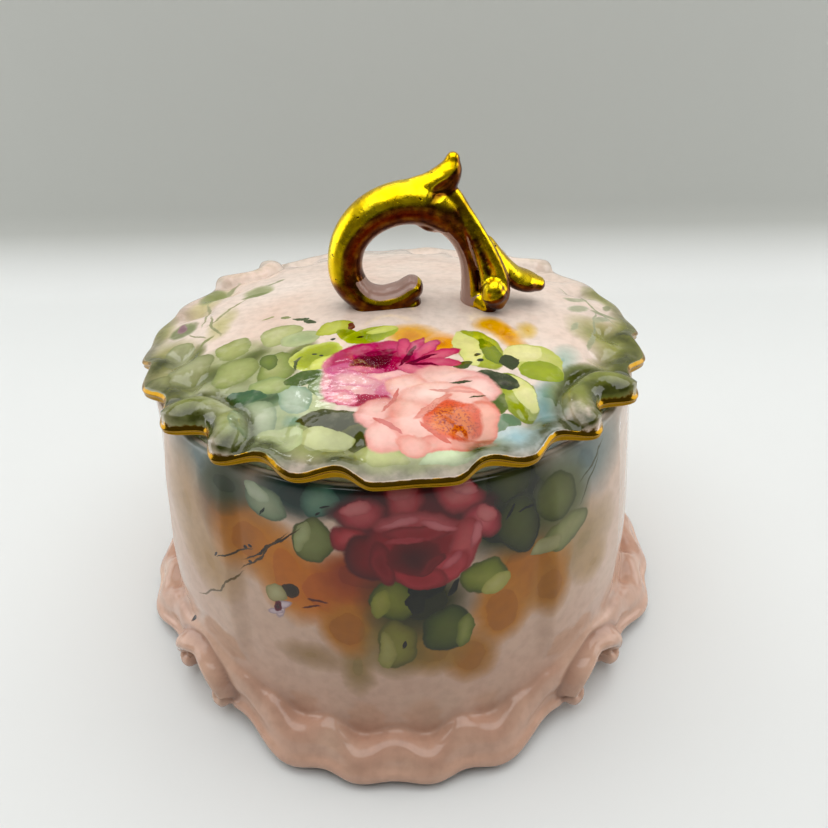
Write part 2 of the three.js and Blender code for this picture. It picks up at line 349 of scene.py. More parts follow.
# from the middle of the underside, out over foot ring and skirt, up the wall and down inside
jar_rows = [
    (0, 4.2, 6), (52, 4.2, 3), (62.4, 3.6, 1), (63.9, 1.2, 0.8), (64.8, 0.1, 1), (68.2, 0.1, 1),
    (69, 1.2, 1), (70.4, 4.6, 1), (74, 6.4, 2), (edge - 8, lift + 4.2, 1.2),
    (edge - 2.2, lift + 1.0, 0.8), (edge - 0.7, lift + 0.1, 0.6), (edge - 0.1, lift + 1.1, 0.6),
    (edge - 0.4, lift + 2.6, 0.7), (edge - 1.7, lift + 4.2 + 0.5 * ruffle, 0.8),
    (0.6 * edge + 0.4 * 81.6, lift * 0.45 + fold_line * 0.42 + 3.9 + 0.8 * ruffle, 0.8),
    (0.25 * edge + 0.75 * 81.4, lift * 0.15 + fold_line * 0.8 + 2.1 + 0.4 * ruffle, 0.7),
    (81.0 - 0.4 * calm, fold_line, 0.7), (80.0 + 0.1 * calm, fold_line + 2.4, 0.9),
    (79.2 + 0.4 * pilaster, fold_line + 7, 1.2), (78.3 + 0.8 * pilaster, 36, 1.6),
    (77.2 + pilaster, 48, 2), (75.7 + pilaster, 60, 2), (74.2 + pilaster, 72, 2),
    (73.1 + 0.7 * pilaster, 81, 1.6), (72.7 + 0.2 * pilaster, 87, 1), (72.4, 89.6, 0.6),
    (71.9, 90.7, 0.5), (71.2, 91, 1), (69.4, 91, 0.5), (68.4, 90.6, 0.5), (68.05, 89.4, 1.2),
    (68.2, 84, 3), (69.2, 70, 3), (71.2, 52, 3), (72.5, 38, 3), (72.8, 29, 1), (72.4, 26.6, 0.6),
    (71.4, 26, 1.5), (65.3, 26, 0.6), (64.3, 25.5, 0.5), (64.1, 24.4, 0.8), (64.8, 22.8, 1.2),
    (68.6, 19.4, 1.4), (71, 16, 1.2), (71.4, 12.6, 1), (70.2, 10, 0.8), (67.4, 8.7, 1),
    (62, 8.5, 4), (0, 8.5, 6),
]
jar_points = in_space(profile(jar_rows))

# the C scroll at each corner: a rounded band along an arch, with a curled eye at each end
SCROLL_HALF_WIDTH = 12.0
SCROLL_FOOT = 9.2
SCROLL_RISE = 9.6
SCROLL_BAND = 2.9
SCROLL_PROUD = 4.2
CURL_RADIUS = 1.8

across = corner * math.radians(1) * CORNER_RADIUS
height = jar_points[:, :, 2]
radius = np.hypot(jar_points[:, :, 0], jar_points[:, :, 1])
arch = np.abs(np.hypot(across / SCROLL_HALF_WIDTH, (height - SCROLL_FOOT) / SCROLL_RISE) - 1)
arch = np.where(height > SCROLL_FOOT, arch * (SCROLL_HALF_WIDTH + SCROLL_RISE) / 2, 99)
curl = np.hypot(np.abs(across) - SCROLL_HALF_WIDTH + 2.2, height - SCROLL_FOOT + 1)
curl = np.abs(curl - CURL_RADIUS)
from_band = np.minimum(arch, curl + 0.6)
band = np.clip(1 - (arch / SCROLL_BAND) ** 2, 0, 1) ** 0.7
band = np.maximum(band, 0.62 * np.clip(1 - (curl / 2) ** 2, 0, 1) ** 0.8)
groove = np.exp(-(((from_band - SCROLL_BAND - 0.6) / 0.9) ** 2)) * 0.35
on_skirt = (radius > 78) * smooth((height - 3) / 2.5) * smooth((28 - height) / 3)
scrolls = (SCROLL_PROUD * band - groove) * on_skirt * (np.abs(corner) < 16)
# painted shade: darker along the fold between wall and skirt and in the grooves beside the C scrolls
crease = 0.55 * np.exp(-(((height - fold_line) / 3) ** 2)) * (radius > 78) * (1 - calm)
beside_band = np.exp(-(((from_band - SCROLL_BAND - 0.4) / 1.1) ** 2))
crease += beside_band * on_skirt * smooth((17 - np.abs(corner)) / 3)
unpainted = np.where(height < 60, radius < 75, radius < 70.5).astype(float)
jar_points = jar_points + outward(jar_points) * scrolls[:, :, None]
jar_points[:, :, 2] = np.maximum(jar_points[:, :, 2], 0)


def blend(one, other, share):
    return tuple(a + (b - a) * share for a, b in zip(tint(one), tint(other)))


def three(colours):
    """A stroke's rim, body and heart colours; the last one named stands for any left out."""
    named = colours.split()
    return (named + named[-1:] * 2)[:3]


def brushed(space, plan, broad, fine):
    """The painter's hand: a plan in mm pushed about by smooth noise, and its squares."""
    wide = space.noise(0.11, 1, 1).vector("MULTIPLY_ADD", (broad,) * 3, (-broad / 2,) * 3)
    tight = space.noise(0.55, 2, 1).vector("MULTIPLY_ADD", (fine,) * 3, (-fine / 2,) * 3)
    moved = plan.vector("ADD", wide).vector("ADD", tight)
    flat = moved.vector("MULTIPLY_ADD", (1, 1, 0), (0, 0, 1))
    swapped = flat.vector("CROSS_PRODUCT", (0, 0, 1)).vector("MULTIPLY", flat)
    twice = swapped.vector("CROSS_PRODUCT", (1, 1, 0))
    bent = flat.vector("MULTIPLY", flat).vector("MULTIPLY_ADD", (1, 1, 0), twice)
    return flat, bent


def stroke_axes(long, wide, tilt):
    a = math.radians(tilt)
    along = np.array((math.cos(a), math.sin(a))) * 2 / long
    beside = np.array((-math.sin(a), math.cos(a))) * 2 / wide
    return along, beside


def dab(paint, plan, x, y, long, wide, tilt, colours, soft=0.14, cover=1, grain=None):
    """One rounded brush stroke on the paint, from its heart out to its rim."""
    flat, bent = plan
    rim, body, heart = three(colours)
    u, w = stroke_axes(long, wide, tilt)
    full = np.outer(u, u) + np.outer(w, w)
    pull = -2 * full @ (x, y)
    rest = float((x, y) @ full @ (x, y))
    square = bent.vector("DOT_PRODUCT", (full[0, 0], full[1, 1], full[0, 1]))
    inside = square + flat.vector("DOT_PRODUCT", (pull[0], pull[1], rest))
    full_to = (1 - soft) ** 2
    rim = blend(rim, body, 0.4)
    stops = [(0.002, heart, cover), (min(0.34, full_to - 0.02), body, cover)]
    colour = inside.ramp(*stops, (full_to, rim, cover), (1, rim, 0))
    share = colour.beside(1)
    return paint.mix(colour, share * grain if grain else share)


def leaf(paint, plan, x, y, long, wide, tilt, colours, soft=0.12, cover=1):
    """One pointed brush stroke: a leaf or a narrow petal."""
    rim, body, heart = three(colours)
    u, w = stroke_axes(long, wide, tilt)
    along = plan[0].vector("DOT_PRODUCT", (u[0], u[1], -u[0] * x - u[1] * y))
    beside = plan[0].vector("DOT_PRODUCT", (w[0], w[1], -w[0] * x - w[1] * y))
    round_side = along.maths("POWER", along.maths("ABSOLUTE", beside), 1.6)
    inside = along.maths("MULTIPLY_ADD", along, along, round_side)
    rim = blend(rim, body, 0.45)
    stops = [(0.04, heart, cover), (0.6, body, cover), (1 - soft, rim, cover), (1, rim, 0)]
    colour = inside.ramp(*stops)
    return paint.mix(colour, colour.beside(1))


def coat(paint, name, plan, strokes, style=dab, **kept):
    """A list of strokes laid on the paint, packed in a node group of its own."""
    group = bpy.data.node_groups.new(name, "ShaderNodeTree")
    sockets = [("Paint", "INPUT", "Color"), ("Plan", "INPUT", "Vector"), ("Squares", "INPUT", "Vector")]
    for label, side, kind in [*sockets, ("Paint", "OUTPUT", "Color")]:
        group.interface.new_socket(label, in_out=side, socket_type="NodeSocket" + kind)
    inner = Wire(group).node("NodeGroupInput", {}, {})
    inner_plan = (inner.beside(1), inner.beside(2))
    for stroke in strokes:
        inner = style(inner, inner_plan, *stroke, **kept)
    inner.plug(inner, group.nodes.new("NodeGroupOutput").inputs[0])
    return paint.node("Group", {"node_tree": group}, {0: paint, 1: plan[0], 2: plan[1]})


jar_material, jar_space, jar_sockets = surface("painted_jar_glaze", 0.1, Specular_IOR_Level=0.4)
jar_x = jar_space.node("SeparateXYZ", {}, {0: jar_space})
jar_y, jar_z = jar_x.beside(1), jar_x.beside(2)
bearing = jar_x.maths("ARCTAN2", jar_x, 0 - jar_y) * (180 / math.pi) - 1.2
# the same spray is painted on the front and on the back, so the bearing folds at the sides
folded = bearing.maths("WRAP", bearing, 90, -90)
wall_plan = jar_x.node("CombineXYZ", {}, {0: folded * 1.3, 1: jar_z})
wall = brushed(jar_space, wall_plan, 4, 0.9)
paint = (jar_z / 95).tones((0, "dcb8a4"), (0.35, "debfac"), (1, "e2ccba"))
paint = paint.mix("e6cdb9", jar_space.noise(0.05, 3).ease(0.45, 0.75) * 0.5)

# Strokes are (place across, place up, length, width, tilt, colours, softness), in mm and degrees.
# Soft washes of blue grey, ochre and olive are rubbed on first; the dark teal band along the top, under
# the lid's rim, is painted shadow.
paint = coat(paint, "wall_washes_and_shadow", wall, [
    (-54, 88, 36, 26, 0, "98a09a 818e8b", 0.8), (54, 86, 44, 30, 0, "98a09a 798885", 0.8),
    (-60, 72, 24, 40, 10, "c8aa88 bfa079", 0.8), (-52, 58, 24, 28, 40, "c8a882 c19f73", 0.8),
    (52, 62, 34, 26, 0, "c0a47e b39b72", 0.8), (56, 52, 18, 16, 0, "c8aa84 bfa075", 0.8),
    (-22, 37, 22, 12, 0, "bc9c7c b1936d", 0.8), (-10, 36, 11, 26, 0, "b49468 a28b59", 0.7),
    (-43, 77, 26, 24, 0, "8a6430 714e1c", 0.7), (-38, 70, 28, 28, 30, "cf923c be7d22", 0.6),
    (-27, 63, 22, 34, 10, "d69430 ca7e1a", 0.55), (-14, 60, 36, 28, -10, "d68c28 c67214", 0.5),
    (-12, 49, 17, 22, 0, "c88c30 b6781c", 0.5), (-8, 66, 26, 20, 0, "b05810 9c4409", 0.6),
    (34, 60, 28, 34, 0, "cc9438 bd7e20", 0.5), (41, 53, 14, 26, 0, "c48c38 b57d29", 0.6),
    (27, 50, 20, 26, 0, "cc9034 ba7c20", 0.5), (18, 37, 18, 24, 20, "c08c40 b37d2e", 0.5),
    (8, 42, 24, 22, 0, "b48c48 a57f39", 0.55), (0, 46, 20, 30, 0, "98803c 806e28", 0.6),
    # the dark teal washes at heights 88 and 90 are painted shadow under the lid's rim
    (-44, 85, 22, 18, 10, "5c6448 424c30", 0.7), (0, 90, 84, 20, 0, "304438 172921", 0.5),
    (-22, 88, 30, 18, 0, "345048 24413a", 0.6), (30, 80, 34, 32, 0, "485028 212910", 0.4),
    (45, 78, 22, 28, 0, "7c8058 666c44", 0.7), (6, 58, 34, 28, 0, "4c4c18 32360f", 0.6),
])

# leaves: rounded, each with a dark side and a lit side
paint = coat(paint, "wall_leaves", wall, [
    (-32, 83.5, 13, 10.5, -20, "4f5f4a 8f9c80 a6ae92"), (-34, 86, 8, 5, -20, "9aa68c b6bea4 c2c8b0"),
    (-17.5, 87, 12, 10, 60, "24443e 5c7f6e 7b9882"), (-20, 75.5, 14, 11, 70, "3a3f18 7a8048 8f9460"),
    (-22.5, 76, 10, 4, 75, "8f9464 a4a878 b0b488"), (29.5, 89, 15, 14, 80, "20240e 3f4520 555a2e"),
    (32, 75.5, 19, 13, 110, "1f2410 454b22 5d6330"), (43, 79.5, 15, 12, 100, "3a3f1c 6b7040 7f8452"),
    (46, 68.5, 15, 9, 20, "5c6034 8b8d5c a0a070"), (40, 66.5, 10, 5, 20, "8b8a58 a9a67a b4b088"),
    (-0.5, 59, 14, 13, 90, "2c300e 6e7428 8a8c3c"), (-3.5, 57.5, 10, 5, 80, "7a7c30 989846 a4a254"),
    (22.5, 62.5, 15, 11, -20, "2c3410 7c8430 989c4c"), (26, 59.5, 9, 6, 30, "9c9c50 b4b068 bdb878"),
    (12.5, 48, 17, 14, 80, "1c2408 4c5818 66702a"), (17, 46.5, 12, 5, 75, "5c6828 7f863c 989c58"),
    (0, 44, 17, 10, 90, "4c4c18 827c34 949044"), (-2.5, 42, 12, 4, 92, "8a8640 a29c58 aca668"),
    (8, 64, 10, 8, 30, "0e1606 141c08 1a2410"), (5, 58, 8, 5, 80, "141c08 1a220c 222a10"),
    (-26.8, 58.5, 6, 4.5, 30, "5a3c10 4a3410 3c2c0c"), (-31, 56, 7, 6, 60, "8c8454 b0a87c beb890"),
], leaf)

# the rose: a dark ground, outer petals, the bowl, its folds and a maroon heart
paint = coat(paint, "wall_rose", wall, [
    (5, 84, 42, 16, 0, "4c1c20 6a2028"), (4, 78, 36, 26, 0, "54161c 74202a"),
    (-7.5, 84.5, 13, 9, 30, "5c1018 b04850 c46468"), (3, 88.5, 13, 10, 95, "5c1018 b4484e c66a6c"),
    (16, 88.5, 14, 10, -25, "64121c bc545a cf7a7a"), (22, 79.5, 13, 9, -50, "5c1018 b8505a cc7478"),
    (-11, 77, 11, 7, 20, "6a1018 b03c44 c65c60"), (-6, 72, 12, 15, 20, "4c060c 7c1418 8c1c20"),
    (6.5, 74.5, 28, 22, 0, "7c1c24 a02c34 8a1c26"), (6, 81, 24, 9, -8, "8c2c34 c06468 b85258"),
    (17.5, 74, 9, 17, -12, "8c2830 bc585c c8686a"), (13, 67.5, 15, 7, 35, "94242c c05058 b8444c"),
    (6, 65.8, 15, 6, -12, "7a141c b03c44 a8303a"), (-2.5, 70, 6, 14, 12, "6a0c14 962830 8c1c26"),
    (6, 78.5, 18, 6, 0, "7a1820 a83c44 a03038"), (5, 72, 13, 11, 0, "84101c 700a12 58060c"),
    (2, 82.5, 11, 3, 14, "a84850 cc7c80 d08488"), (11, 80.5, 11, 3, -24, "a84850 cc7c80 d08488"),
    (20.5, 76, 3, 9, -14, "a84850 cc7c80 d08488"), (14, 69.5, 8, 2.6, 42, "a84850 c86c74 cc767a"),
    (17, 90.5, 9, 4, -20, "b85c64 d48c8c d89494"), (-9, 86, 8, 4, 30, "b05058 cc7c7c d08484"),
    (23, 81.5, 7, 4, -50, "b05058 cc7c7c d08484"), (3, 90, 8, 4, 0, "b05058 cc7c7c d08484"),
    (8.5, 69, 9, 3, 30, "6a1018 8c2028 841c24"), (3, 76.5, 11, 2.4, 8, "8c2830 b44c54 b04850"),
])

# a small star flower, fine stems with dots, leaf outlines and pen strokes in the leaves
paint = coat(paint, "wall_details", wall, [
    (-30, 50.5, 8, 3, 75, "a08c94 d8c4c8 e4d4d4"), (-31.6, 49.4, 6, 2.4, 20, "a08c94 d0bcc2 dcccd0"),
    (-28.6, 53, 5, 2.2, 50, "a08c94 d0bcc2 dcccd0"), (-30.4, 51.6, 5, 2.2, 70, "7c1838 6a1030 500820"),
    (-31.5, 70.5, 25, 0.8, 41, "5c4420 4c3818 3c2c10"),
    (-43, 64.5, 14, 0.8, 33, "5c4a28 5c4a28 4c3c1c"), (-34, 67.5, 24, 0.7, 50, "6a5228 5c4420"),
    (-50, 49.5, 28, 0.7, 43, "8a7450 7a6440"), (56, 83.5, 15, 0.8, 32, "6a6c50 5c6044"),
    (55, 79.5, 16, 0.8, 50, "6a6c50 5c6044"), (-40, 67.3, 1.6, 1.4, 0, "4c2c14 3c2410"),
    (-38.5, 68.6, 1.3, 1.2, 0, "4c2c14 3c2410"), (-38, 63.5, 1.5, 1, 40, "4c2c14 3c2410"),
    (-48.5, 62, 2.5, 1, 50, "4c2c14 3c2410"), (3, 58.6, 3.5, 1, 60, "141408"),
    (4.6, 60.4, 3, 1, 80, "141408"), (-19, 57, 6, 1, 5, "7c3c0c 6a300c"),
    (-21, 54.7, 7, 0.9, 12, "7c3c0c 6a300c"), (-17, 83, 2.4, 0.8, 40, "1c2c20"),
    (-15.5, 85.5, 2.4, 0.8, 30, "1c2c20"), (-33, 80.5, 3.4, 0.8, 60, "2c3c28"),
    (29, 80, 5, 1, 70, "10140a"), (34, 79, 6, 0.9, 5, "10140a"), (1.3, 43.8, 3, 1, 80, "201c08"),
    (14, 62, 6, 2, 60, "101408 141808"), (-68, 23.2, 3, 1.3, 70, "4c3428 3c2a22"),
], soft=0.25)
paint = paint.mix("5c4030", jar_space.noise(0.35, 4).ease(0.35, 0.75) * 0.1)
paint = paint.deepen(1.03, 0.96, 1.24)
# painted shade in pinkish brown along the fold and beside the scrolls
paint = paint.mix("8c5c48", jar_space.mark("crease") * 0.5)
paint = paint.mix("e2d3c4", jar_space.mark("unpainted"))
jar_space.plug(paint, jar_sockets["Base Color"])
jar_space.plug(jar_space.noise(0.3, 2).ease(0.3, 0.8) * 0.08 + 0.06, jar_sockets["Roughness"])
jar_space.plug(jar_space.bumped(jar_space.noise(0.07, 2), 0.0012, 0.3), jar_sockets["Normal"])
jar_marks = {"unpainted": unpainted, "crease": crease}
casting("jar", jar_points, "jar", "jar_body", jar_material, jar_marks)

# ---- The drainer -----------------------------------------------------------------------------
# A pierced porcelain plate that rests on the jar's ledge, so that water runs off the butter. Its
# centre hole takes a finger. Pressed, with edges rounded by a plain warm white glaze.

plain_glaze, plain_space, plain_sockets = surface("plain_white_glaze", 0.12)
plain_tone = plain_space.noise(0.05, 3).tones((0.3, "efe4d8"), (0.6, "e9dccd"), (0.8, "dfcfbe"))
rounded = plain_space.node("Bevel", {"samples": 6}, {"Radius": 0.8 * MM})
ripple = plain_space.bumped(plain_space.noise(0.12, 2), 0.0006, 0.3, Normal=rounded)
plain_space.plug(plain_tone, plain_sockets["Base Color"])
plain_space.plug(plain_space.noise(0.3, 2) * 0.1 + 0.06, plain_sockets["Roughness"])
plain_space.plug(ripple, plain_sockets["Normal"])
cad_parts["drainer"].material_slots[0].material = plain_glaze

# ---- The lid ---------------------------------------------------------------------------------
# A low porcelain dome with a ruffled, gilded rim and a raised C scroll at each corner. Pressed in
# a mould, painted with a pink and a salmon rose, and glazed. It sits turned a little on the jar.

LID_TURN = 5.5
LID_MEAN_RADIUS = 75
LID_RADIUS = [(0, 74.8), (7, 75.6), (13, 72.6), (21, 75.4), (29, 71.8), (37, 76.4), (45, 70.4)]
LID_LIFT = [(0, 0), (7, 0.2), (14, 2.2), (21, 0.8), (29, 1.8), (37, 0.2), (45, 0.8)]
LID_VALLEY = [(0, 0.2), (7, 0), (14, 1), (21, 0.1), (28, 0.9), (36, 0), (45, 0)]
DOME_RADII = (0, 10, 26, 44, 56, 63, 68, 72, 75)
DOME_HEIGHTS = (105.3, 104.85, 103.7, 102, 100.3, 98.8, 97.4, 96.2, 95)
LID_SCROLL_PROUD = 3.0
LID_SCROLL_RADIUS = 8.4
LID_SCROLL_BAND = 4.5

lid_edge = lobes(LID_RADIUS, angles)
lid_lift = lobes(LID_LIFT, angles)
lid_valley = lobes(LID_VALLEY, angles)
under = [
    (0, 101.2, 6), (30, 99.7, 4), (54, 96.1, 2), (60.4, 92.6, 1), (61.6, 91.4, 1), (62.8, 91.3, 2),
    (70, 91.3, 1.2),
]
lid_rim = [
    (lid_edge - 2.2, 92.6 + 0.5 * lid_lift, 0.6), (lid_edge - 1.0, 92.9 + 0.5 * lid_lift, 0.5),
    (lid_edge - 0.4, 93.3 + 0.55 * lid_lift, 0.4), (lid_edge - 0.6, 93.8 + 0.8 * lid_lift, 0.4),
    (lid_edge - 0.15, 94.3 + lid_lift, 0.3), (lid_edge - 0.5, 94.8 + lid_lift, 0.4),
]


def dome_height(r):
    return np.interp(r, DOME_RADII, DOME_HEIGHTS)


shares = np.concatenate([np.linspace(0.985, 0.72, 26), np.linspace(0.70, 0.1, 26), [0.05]])
top = []
for share in shares:
    out = smooth((share - 0.6) / 0.4)
    r = share * (LID_MEAN_RADIUS + (lid_edge - LID_MEAN_RADIUS) * out)
    z = dome_height(share * LID_MEAN_RADIUS) + lid_lift * smooth((share - 0.87) / 0.12)
    z = z - 2.0 * lid_valley * np.exp(-(((share - 0.87) / 0.06) ** 2))
    top.append((r, z, 9))
top.append((0, DOME_HEIGHTS[0], 9))
lid_points = in_space(profile(under + lid_rim + top))
lid_r = np.hypot(lid_points[:, :, 0], lid_points[:, :, 1])
lid_across = corner * math.radians(1) * lid_r
bow = np.abs(np.hypot(lid_across / 1.15, lid_r - 74.8) - LID_SCROLL_RADIUS) / LID_SCROLL_BAND
lid_band = np.clip(1 - bow**2, 0, 1) ** 0.8 - 0.18 * np.exp(-(((bow - 1.15) / 0.2) ** 2))
upper = np.zeros(lid_points.shape[:2])
upper[len(lid_points) - len(top) :] = 1
raised = LID_SCROLL_PROUD * lid_band * upper * smooth((lid_r - 58) / 2) * (np.abs(corner) < 16)
lid_points[:, :, 2] += raised

# painted shade on the relief: dark olive in the hollows beside the scrolls, in the rim's valleys and
# round the rim, strongest at the front; round the rim it also gives the paint's olive tint
forward = smooth((lid_points[:, :, 1] + 10) / 30)
near_corner = upper * (np.abs(corner) < 15) * smooth((lid_r - 56) / 4) * (1 - 0.75 * forward)
painted = upper * (1 - 0.8 * smooth((lid_points[:, :, 1] + 10) / 40))
to_edge = lid_r / lid_edge
shade = np.exp(-(((bow - 1.2) / 0.3) ** 2)) * near_corner
shade += 0.8 * lid_valley * np.exp(-(((to_edge - 0.92) / 0.05) ** 2)) * painted
shade += 0.75 * smooth((to_edge - 0.91) / 0.06) * painted
shade += 0.5 * np.exp(-(((bow - 0.55) / 0.18) ** 2)) * near_corner * (lid_r > 66)
lid_marks = {"shade": shade, "shine": np.clip(1 - bow**2, 0, 1) * near_corner}

# how far the gilding is, along the surface, from its upper limit on the rim
GILT_WIDTH = 1.6
first_rim = len(profile(under + lid_rim[:1])) - 1
top_edge = len(profile(under + lid_rim)) - 1 - first_rim
run = np.linalg.norm(np.diff(lid_points[first_rim:], axis=0), axis=2).mean(1)
from_rim = np.concatenate([[0], np.cumsum(run)])
lid_marks["rim"] = np.full(lid_points.shape[:2], -9.0)
lid_marks["rim"][first_rim:] = (GILT_WIDTH - np.maximum(0, from_rim - from_rim[top_edge]))[:, None]

lid_material, lid_space, lid_sockets = surface("painted_lid_glaze", 0.08, IOR=1.52)
set_back = {"Vector": lid_space, "Rotation": (0, 0, math.radians(LID_TURN))}
lid_plan = lid_space.node("Mapping", {"vector_type": "TEXTURE"}, set_back)
top_plan = brushed(lid_space, lid_plan, 4, 1.1)
paint = lid_space.noise(0.04, 3).tones((0.3, "eee0d6"), (0.55, "ead8cc"), (0.75, "e4ccbe"))

# washes: sage round the rim, teal and pale blue in front, orange behind the roses
paint = coat(paint, "lid_washes", top_plan, [
    (-66, -16, 24, 30, 20, "9f9e65 9f9e65 8f8f55", 0.8),
    (-58, -32, 30, 26, -30, "949458 949458 7e8049", 0.7),
    (-48, -44, 28, 22, -30, "929864 929864 848c5b", 0.7),
    (-72, 6, 10, 26, 5, "b3af7e b3af7e a7a36f", 0.8),
    (-60, 24, 12, 30, -20, "cabf93 cabf93 c0b68b", 0.9),
    (-44, -26, 26, 24, 0, "9da167 9da167 8e985b", 0.8),
    (70, -14, 12, 42, -12, "949452 949452 848641", 0.7),
    (60, -33, 26, 16, 40, "8c8d4b 8c8d4b 797e3b", 0.7),
    (50, -44, 30, 18, 25, "7f8441 7f8441 6c7434", 0.7),
    (70, 12, 10, 24, 15, "aaa872 aaa872 a0a068", 0.8),
    (-37, -44, 28, 20, -10, "7f9a86 7f9a86 64866e", 0.8),
    (-27, -53, 26, 16, -25, "a3b083 a3b083 8fa890", 0.7),
    (-22, -46, 12, 22, 0, "bec79d bec79d ced4aa", 0.8),
    (-40, -56, 20, 12, -30, "a2b07e a2b07e 92a472", 0.7),
    (24, -64, 34, 12, 18, "bccfd0 bccfd0 a9c4c8", 0.7),
    (35, -52, 12, 24, -20, "7fa4a4 7fa4a4 5f9096", 0.7),
    (44, -42, 14, 14, 0, "7c9c84 7c9c84 5c8474", 0.8),
    (44, -34, 10, 20, -30, "b8c4b8 b8c4b8 a4b8ac", 0.8),
    (62, -20, 22, 34, 30, "94964c 94964c 7c8038", 0.8),
    (48, -46, 34, 20, 25, "848a44 848a44 5c6428", 0.6),
    (-50, -47, 26, 20, -40, "a4a878 a4a878 8c9258", 0.7),
    (-40, -30, 44, 34, 0, "a8ac84 a8ac84 98a074", 0.8),
    (-2, -69, 34, 8, 0, "aeb472 aeb472 9ea862", 0.7), (0, -66, 50, 16, 0, "b0b488 b0b488 9ca470", 0.7),
    (-34, -60, 26, 14, -30, "a8ae8c a8ae8c 94a078", 0.7),
    (-22, -62, 24, 14, -20, "9ca06c 9ca06c 899055", 0.7),
    (-48, -31, 22, 9, -30, "687038 687038 545c28", 0.6),
    (-34, -45, 16, 7, 20, "5c7450 5c7450 486040", 0.6),
    (-40, -24, 17, 7, 60, "687038 687038 586028", 0.6),
    (-58, -18, 18, 7, 70, "787c44 787c44 646834", 0.6),
    (-27, -25, 15, 7, 50, "747c34 747c34 5c6424", 0.6),
    (-52, -44, 18, 7, -45, "70783c 70783c 545c28", 0.6),
    (46, -40, 18, 8, 35, "646c34 646c34 485020", 0.6),
    (64, -28, 18, 7, 60, "74783c 74783c 5c602c", 0.6), (4, -21, 18, 14, 0, "e4ac2f e4ac2f d89210", 0.6),
    (12, -26, 12, 14, 0, "e4a020 e4a020 d28809", 0.6),
    (27, -16, 12, 12, 0, "e2b034 e2b034 da9c1a", 0.7),
    (31, -22, 9, 20, 20, "e2a827 e2a827 d69009", 0.6),
    (37, -18, 8, 12, -20, "dec076 dec076 d6b058", 0.8),
    (-52, 0, 8, 26, -10, "c9c093 c9c093 bcb684", 0.9),
])

# leaves: pale sage on the left, lime with dark hearts round the roses
paint = coat(paint, "lid_leaves", top_plan, [
    (-57, -24, 14, 11, 40, "6c7444 9c9f74 acae88"), (-53, -37, 14, 11, -50, "747c50 a4a880 b4b694"),
    (-63, -13, 12, 9, 70, "84885c a8aa84 b4b694"), (-37, -51, 13, 11, 20, "6c8460 a4b090 b8c0a4"),
    (-27, -45, 13, 9, -60, "6c8c74 a8b8a0 bcc8b4"), (-46, -46, 12, 9, 30, "7c8458 a8ac88 b8ba9c"),
    (-66, -30, 12, 8, 60, "6c7040 98996c a8a880"), (-21, -40, 12, 7, -70, "50683c 8c9c70 a4b08c"),
    (-46, -18, 13, 10, 75, "7f8a4f a0a66a aeb278"), (-33, -13.5, 13, 11, 60, "8f9863 b4b882 c0c28e"),
    (-44, -30, 15, 12, 60, "6c783d 9aa267 aab078"), (-33, -31.5, 16, 10, 80, "5f6c30 8c9856 a8ae74"),
    (-35, -28, 6, 8, 20, "4c5c22 6c7c3a 7c8a44"), (-34, -39, 12, 8, -10, "7c9060 a0ac74 b4bc86"),
    (-40, -42, 11, 6, -20, "4f704f 3f6444 4c704b"), (-27, -18, 12, 8, 20, "a8b086 b8c093 a8b489"),
    (-27.5, -4.8, 5, 2.2, -20, "5c683d 4c5c30"), (-25, -7.6, 5, 2.4, -35, "5c683d 445429"),
    (-32, -2.5, 4, 1.8, -10, "9ca074 8c9263"), (-38, -1.5, 4, 1.2, 20, "b4b486 a4a678"),
    (-17.5, -13.5, 13, 8, 25, "98a033 c0c459 ccd06e"), (-12.6, -13.5, 5, 2, 75, "8c4c33 74341e"),
    (-22, -28, 16, 12.5, 40, "dfe49a b0b83d 98a425"), (-20, -31, 10, 5, 40, "c0c860 d4d878 dce089"),
    (-13, -19, 11, 6, -40, "a8b037 909c1b 848f14"), (-7, -19.5, 16, 9, 15, "b8c04f a0ac29 8c9c18"),
    (-4, -17.5, 9, 4, 10, "c8cc67 ccd071 d4d87b"), (-26, -37, 9, 6, 20, "5c7029 4c6422"),
    (21.5, -29.5, 21, 13, 105, "8c942c a8b03d b4bc4b"), (18.6, -29, 18, 7, 100, "d8dc97 dcdc97 e4e0a1"),
    (24.4, -31, 14, 5, 110, "6c7c0d 7c8c14 8c981e"), (36, -34.5, 18, 15, -50, "b8bc67 c4c874 d0d086"),
    (33, -31.5, 12, 9, 30, "dcdc9a e4e0a5 e8e4ac"), (36.5, -39.5, 13, 9, 10, "8c9c22 98a625 a4b030"),
    (27.5, -49, 18, 11, 105, "7c8c18 98a430 a8b041"), (29.5, -48, 14, 6, 110, "d4d88d d8d893 e0dc9e"),
    (23.5, -43.5, 12, 7, -25, "3c4c0d 2c3c06 243403"), (28.5, -36, 5, 7, 0, "3c4c0d 34440a"),
    (21.5, -52.5, 9, 7, 60, "6c7c1b 5c7014 506418"), (16.5, -36.5, 6, 3.4, 20, "4c5c14 44540d"),
    (-17, -55.5, 21, 8, -12, "5c5c22 444818 3c4014"), (-11, -62, 13, 8, -35, "6c6c2c 50541e 484c1b"),
    (-20, -60, 14, 7, -10, "b4b882 c4c893 ccd09e"), (-3, -52, 6, 4, 60, "5c6422 545c1b"),
    (-31, -58, 13, 9, -30, "b8c493 ccd4a5 d4dcaf"), (-7, -67.5, 16, 6, -12, "98a060 b4b87b c0c489"),
    (23, -58.5, 9, 5, 30, "7c906e 6c8867"), (9, -69, 14, 5, 5, "b4c49e c8d4af d0dcb6"),
], leaf, soft=0.1)

